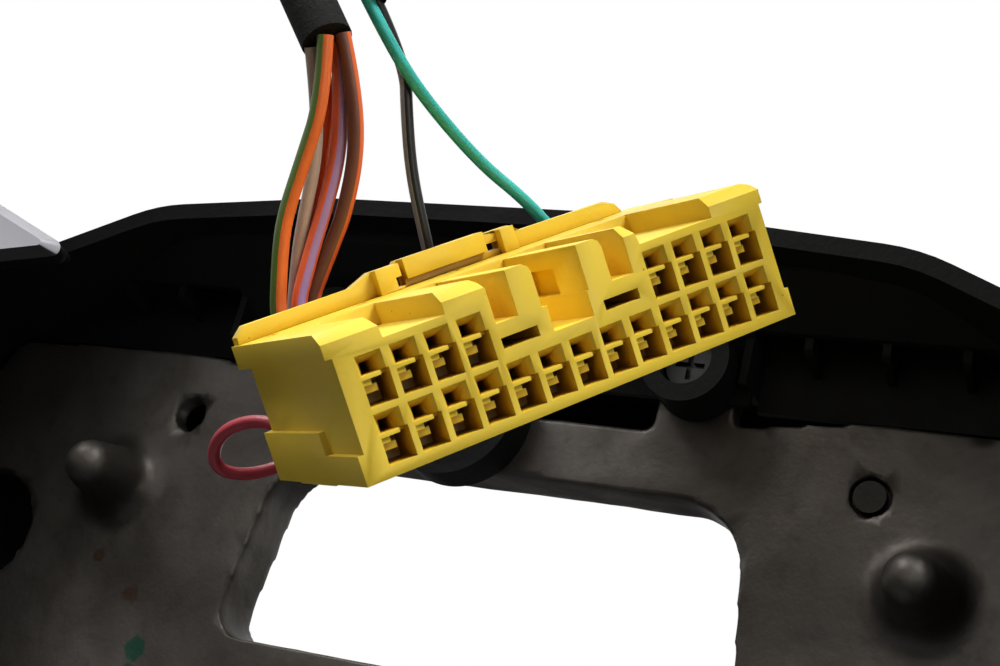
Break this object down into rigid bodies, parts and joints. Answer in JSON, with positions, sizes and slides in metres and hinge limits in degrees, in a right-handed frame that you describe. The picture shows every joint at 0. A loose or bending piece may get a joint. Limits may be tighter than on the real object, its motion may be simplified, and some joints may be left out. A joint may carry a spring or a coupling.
{
  "type": "steering wheel",
  "caption": "Car steering wheel without its airbag: cast hub plate and arms, round rim, silver spoke trims, switch keys, and a loom with an open multi-way plug in front of the hub.",
  "frame": {"origin": "on the steering column's axis, level with the front face of the cast hub plate", "axes": "+Y along the column, away from the driver; +Z to 12 o'clock; +X to the driver's right"},
  "size_m": [0.374, 0.1098, 0.3738],
  "materials": {
    "cast_metal": "matte",
    "steel": "satin",
    "dark_steel": "satin",
    "rim_plastic": "matte",
    "black_plastic": "matte",
    "key_plastic": "satin",
    "silver_trim": "satin",
    "yellow_plastic": "satin",
    "terminal_metal": "satin",
    "wire_orange": "satin",
    "wire_beige": "satin",
    "wire_brown": "satin",
    "wire_grey": "satin",
    "wire_teal": "satin",
    "wire_red": "satin",
    "loom_tape": "matte"
  },
  "bodies": {
    "wheel": {"armature": "cast_metal", "hub_bush": "steel", "rim_grip": "rim_plastic", "rear_cover": "black_plastic", "cover_screws": "dark_steel", "locating_pin": "dark_steel", "cable_guide": "black_plastic", "right_spoke_bezel": "silver_trim", "right_switch_housing": "black_plastic", "left_spoke_bezel": "silver_trim", "left_switch_housing": "black_plastic", "lower_spoke_trim": "silver_trim", "plug_housing": "yellow_plastic", "plug_retainer": "yellow_plastic", "plug_terminals": "terminal_metal", "wire_orange_green": "wire_orange", "wire_beige": "wire_beige", "wire_orange_violet": "wire_orange", "wire_orange": "wire_orange", "wire_brown": "wire_brown", "wire_black_grey": "wire_grey", "wire_teal": "wire_teal", "wire_red": "wire_red", "left_loom": "loom_tape", "right_loom": "loom_tape", "left_loom_clip": "black_plastic", "right_loom_clip": "black_plastic"},
    "right_upper_key": {"right_upper_key": "key_plastic"},
    "right_lower_key": {"right_lower_key": "key_plastic"},
    "right_thumb_roller": {"right_thumb_roller": "key_plastic"},
    "left_upper_key": {"left_upper_key": "key_plastic"},
    "left_lower_key": {"left_lower_key": "key_plastic"},
    "left_thumb_roller": {"left_thumb_roller": "key_plastic"}
  },
  "joints": [
    {"name": "right_upper_key_press", "type": "slide", "parent": "wheel", "child": "right_upper_key", "axis": [0.3891, 0.9212, 0], "range_m": [0, 0.0008], "stiffness_N_per_m": 800},
    {"name": "right_lower_key_press", "type": "slide", "parent": "wheel", "child": "right_lower_key", "axis": [0.3891, 0.9212, 0], "range_m": [0, 0.0008], "stiffness_N_per_m": 800},
    {"name": "right_thumb_roller_turn", "type": "hinge", "parent": "wheel", "child": "right_thumb_roller", "pos_m": [0.12263, -0.03983, 0.029], "axis": [0.9212, -0.3891, 0], "continuous": true},
    {"name": "left_upper_key_press", "type": "slide", "parent": "wheel", "child": "left_upper_key", "axis": [-0.3891, 0.9212, 0], "range_m": [0, 0.0008], "stiffness_N_per_m": 800},
    {"name": "left_lower_key_press", "type": "slide", "parent": "wheel", "child": "left_lower_key", "axis": [-0.3891, 0.9212, 0], "range_m": [0, 0.0008], "stiffness_N_per_m": 800},
    {"name": "left_thumb_roller_turn", "type": "hinge", "parent": "wheel", "child": "left_thumb_roller", "pos_m": [-0.12263, -0.03983, 0.029], "axis": [-0.9212, -0.3891, 0], "continuous": true}
  ]
}
